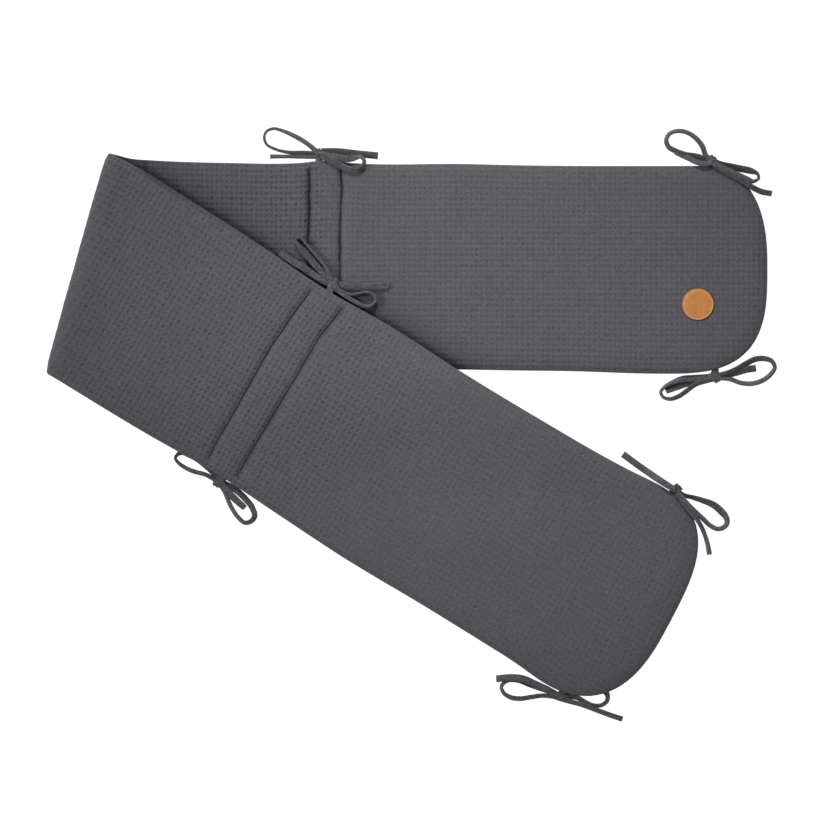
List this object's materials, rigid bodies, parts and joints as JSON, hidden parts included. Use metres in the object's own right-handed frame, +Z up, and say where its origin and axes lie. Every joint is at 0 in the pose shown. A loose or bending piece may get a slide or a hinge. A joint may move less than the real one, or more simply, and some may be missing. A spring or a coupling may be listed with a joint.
{
  "type": "crib bumper",
  "caption": "Padded crib bumper in dark grey waffle cotton, folded once on a slant, with narrow sewn channels, fabric tapes tied in bows along its edges and a round leather label.",
  "frame": {"origin": "under the middle of the folded strip's outline, on the surface it lies on", "axes": "+X along the straight arm towards the labelled end, +Y from the front arm towards the back arm, +Z up out of the surface"},
  "size_m": [0.994, 0.8112, 0.0424],
  "materials": {
    "waffle_cotton": "dark grey waffle weave, matt",
    "cotton_tape": "dark grey folded cotton tape, matt",
    "leather": "tan leather with a darker edge, smooth and slightly satin"
  },
  "bodies": {
    "root": {"bumper_pad": "waffle_cotton", "tie_channel_1_top": "cotton_tape", "tie_channel_1_bottom": "cotton_tape", "tie_channel_2_top": "cotton_tape", "tie_channel_2_bottom": "cotton_tape", "tie_label_end_top": "cotton_tape", "tie_label_end_bottom": "cotton_tape", "tie_far_end_top": "cotton_tape", "tie_far_end_bottom": "cotton_tape", "leather_label": "leather"}
  },
  "joints": []
}
